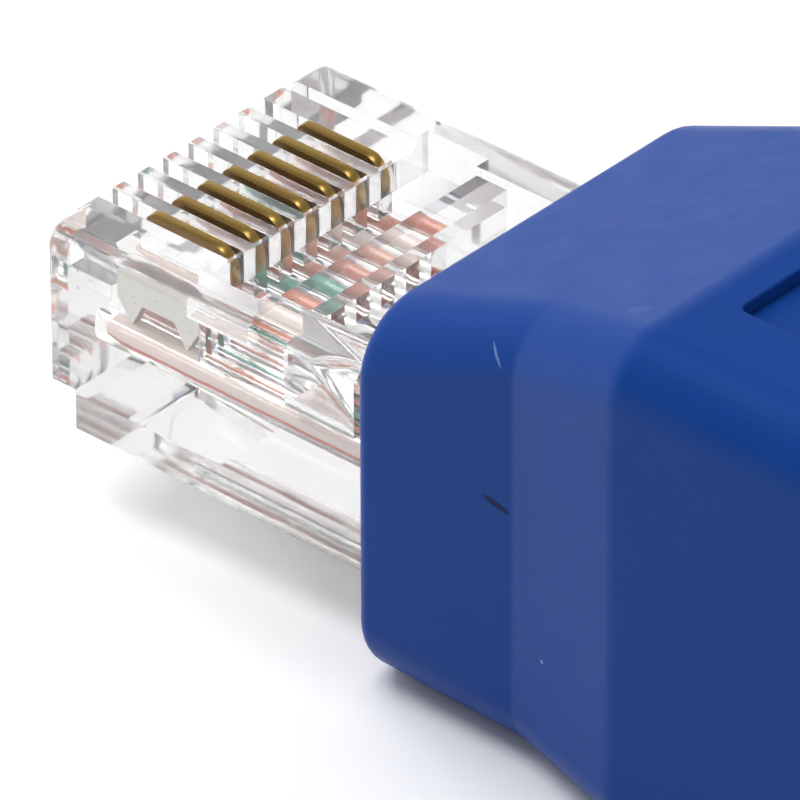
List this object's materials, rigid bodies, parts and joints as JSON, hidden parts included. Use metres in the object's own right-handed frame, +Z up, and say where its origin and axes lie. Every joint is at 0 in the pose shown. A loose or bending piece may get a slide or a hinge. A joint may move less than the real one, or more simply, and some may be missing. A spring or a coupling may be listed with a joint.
{
  "type": "ethernet adapter",
  "caption": "Plug-to-socket network adapter: a clear modular plug with gilt contacts stands out of a flared blue moulded housing with a modular socket in its rear end.",
  "frame": {"origin": "centre of the footprint, on the surface that the housing lies on", "axes": "+X from the plug's nose to the socket, +Y across the contacts to the far side, +Z up with the contacts on top"},
  "size_m": [0.052, 0.0168, 0.0155],
  "materials": {
    "clear_plastic": "clear polycarbonate, glossy",
    "gilt_contact": "gold flash over stamped phosphor bronze",
    "blue_housing": "royal blue soft moulding, satin",
    "socket_plastic": "dark blue moulding, satin",
    "wire_pale_orange": "wire insulation",
    "wire_orange": "wire insulation",
    "wire_pale_green": "wire insulation",
    "wire_blue": "wire insulation",
    "wire_green": "wire insulation"
  },
  "bodies": {
    "root": {"plug_body": "clear_plastic", "contact_blade_1": "gilt_contact", "contact_blade_2": "gilt_contact", "contact_blade_3": "gilt_contact", "contact_blade_4": "gilt_contact", "contact_blade_5": "gilt_contact", "contact_blade_6": "gilt_contact", "contact_blade_7": "gilt_contact", "wire_1": "wire_orange", "wire_2": "wire_pale_orange", "wire_3": "wire_green", "wire_4": "wire_blue", "wire_5": "wire_pale_green", "wire_6": "wire_orange", "wire_7": "wire_pale_orange", "housing": "blue_housing", "socket_insert": "socket_plastic", "socket_spring_1": "gilt_contact", "socket_spring_2": "gilt_contact", "socket_spring_3": "gilt_contact", "socket_spring_4": "gilt_contact", "socket_spring_5": "gilt_contact", "socket_spring_6": "gilt_contact", "socket_spring_7": "gilt_contact", "socket_spring_8": "gilt_contact"}
  },
  "joints": []
}
